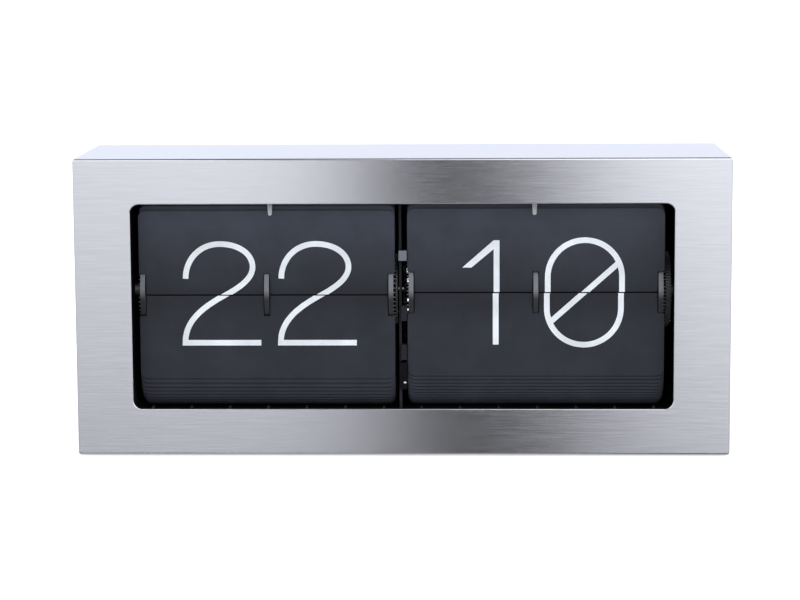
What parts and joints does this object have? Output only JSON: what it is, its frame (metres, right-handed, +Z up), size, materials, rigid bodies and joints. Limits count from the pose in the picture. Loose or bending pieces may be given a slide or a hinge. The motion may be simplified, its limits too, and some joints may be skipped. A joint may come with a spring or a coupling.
{
  "type": "flip number clock",
  "caption": "Boxed flip number clock: brushed steel case with a wide window, two drums of split number leaves, motion work, drive and a battery bay at the back.",
  "frame": {"origin": "middle of the underside, on the plane of the rubber feet", "axes": "+X to the right seen from the front, +Y to the back, +Z up"},
  "size_m": [0.37, 0.09, 0.17],
  "materials": {
    "brushed_steel": "brushed",
    "lug_steel": "plain",
    "back_plastic": "matt",
    "chassis_plastic": "matt",
    "leaf_plastic": "satin",
    "disc_plastic": "satin",
    "gear_plastic": "satin",
    "white_plastic": "satin",
    "bright_steel": "polished",
    "brass": "satin",
    "dark_steel": "plain",
    "rubber": "matt",
    "cell_jacket": "gloss",
    "copper": "enamelled",
    "board": "satin",
    "wire_jacket": "satin"
  },
  "bodies": {
    "case": {"axle_collars": "dark_steel", "back_cover": "back_plastic", "battery_box": "chassis_plastic", "battery_cell": "cell_jacket", "board_parts": "dark_steel", "centre_bearing_plate": "chassis_plastic", "centre_clip": "bright_steel", "centre_stay": "dark_steel", "chassis_screws": "bright_steel", "circuit_board": "board", "coil_bobbin": "white_plastic", "coil_winding": "copper", "counter_bush": "brass", "cover_screws": "bright_steel", "drum_axle": "bright_steel", "hour_catch_finger": "white_plastic", "hour_hanging_leaves": "leaf_plastic", "hour_lower_leaf": "leaf_plastic", "hour_standing_leaves": "leaf_plastic", "keyhole_pockets": "dark_steel", "lead_wires": "wire_jacket", "left_bearing_plate": "chassis_plastic", "minute_catch_finger": "white_plastic", "minute_hanging_leaves": "leaf_plastic", "minute_lower_leaf": "leaf_plastic", "minute_standing_leaves": "leaf_plastic", "motor_stator": "dark_steel", "movement_case": "chassis_plastic", "movement_lid": "chassis_plastic", "negative_contact": "bright_steel", "positive_contact": "bright_steel", "ribbed_deck": "chassis_plastic", "right_bearing_plate": "chassis_plastic", "rubber_feet": "rubber", "shell_lugs": "lug_steel", "steel_shell": "brushed_steel", "top_rail": "chassis_plastic"},
    "hour_drum": {"hour_drum_core": "chassis_plastic", "hour_drum_discs": "disc_plastic", "hour_leaf_pins": "disc_plastic", "hour_wheel": "gear_plastic"},
    "minute_drum": {"minute_drum_core": "chassis_plastic", "minute_drum_discs": "disc_plastic", "minute_leaf_pins": "disc_plastic", "minute_drive_wheel": "gear_plastic", "minute_pinion": "gear_plastic"},
    "counter": {"counter_wheel": "gear_plastic", "counter_arbor": "brass"},
    "output": {"output_arbor": "brass", "output_wheel": "white_plastic"},
    "second": {"second_arbor": "brass", "second_wheel": "white_plastic"},
    "rotor": {"rotor_arbor": "brass", "rotor_magnet": "dark_steel"},
    "setting": {"setting_wheel": "gear_plastic", "setting_arbor": "bright_steel", "setting_collars": "gear_plastic"},
    "hour_leaf": {"hour_falling_leaf": "leaf_plastic"},
    "minute_leaf": {"minute_falling_leaf": "leaf_plastic"},
    "door": {"battery_door": "back_plastic"}
  },
  "joints": [
    {"name": "minute_drum_spin", "type": "hinge", "parent": "case", "child": "minute_drum", "pos_m": [0, -0.013, 0.0914], "axis": [1, 0, 0], "continuous": true},
    {"name": "hour_drum_spin", "type": "hinge", "parent": "case", "child": "hour_drum", "pos_m": [0, -0.013, 0.0914], "axis": [1, 0, 0], "continuous": true},
    {"name": "counter_spin", "type": "hinge", "parent": "case", "child": "counter", "pos_m": [0, 0.00735, 0.07965], "axis": [1, 0, 0], "continuous": true},
    {"name": "output_spin", "type": "hinge", "parent": "case", "child": "output", "pos_m": [0, -0.001, 0.07062], "axis": [1, 0, 0], "continuous": true},
    {"name": "second_spin", "type": "hinge", "parent": "case", "child": "second", "pos_m": [0, 0.00887, 0.06702], "axis": [1, 0, 0], "continuous": true},
    {"name": "rotor_spin", "type": "hinge", "parent": "case", "child": "rotor", "pos_m": [0, 0.00704, 0.05668], "axis": [1, 0, 0], "continuous": true},
    {"name": "setting_spin", "type": "hinge", "parent": "case", "child": "setting", "pos_m": [0, 0.026, 0.0914], "axis": [1, 0, 0], "continuous": true},
    {"name": "hour_leaf_fall", "type": "hinge", "parent": "case", "child": "hour_leaf", "pos_m": [-0.0773, -0.03308, 0.09215], "axis": [1, 0, 0], "range_deg": [0, 174], "deforming": ["hour_catch_finger"]},
    {"name": "minute_leaf_fall", "type": "hinge", "parent": "case", "child": "minute_leaf", "pos_m": [0.0757, -0.03312, 0.09315], "axis": [1, 0, 0], "range_deg": [0, 172], "deforming": ["minute_catch_finger"]},
    {"name": "battery_door_pull", "type": "slide", "parent": "case", "child": "door", "axis": [0, 1, 0], "range_m": [0, 0.02]}
  ],
  "couplings": [
    {"joint": "hour_drum_spin", "follows": "minute_drum_spin", "ratio": 0.020833},
    {"joint": "counter_spin", "follows": "minute_drum_spin", "ratio": -0.11905},
    {"joint": "output_spin", "follows": "minute_drum_spin", "ratio": -7},
    {"joint": "second_spin", "follows": "minute_drum_spin", "ratio": 42},
    {"joint": "rotor_spin", "follows": "minute_drum_spin", "ratio": -252},
    {"joint": "setting_spin", "follows": "minute_drum_spin", "ratio": -1.1667}
  ]
}
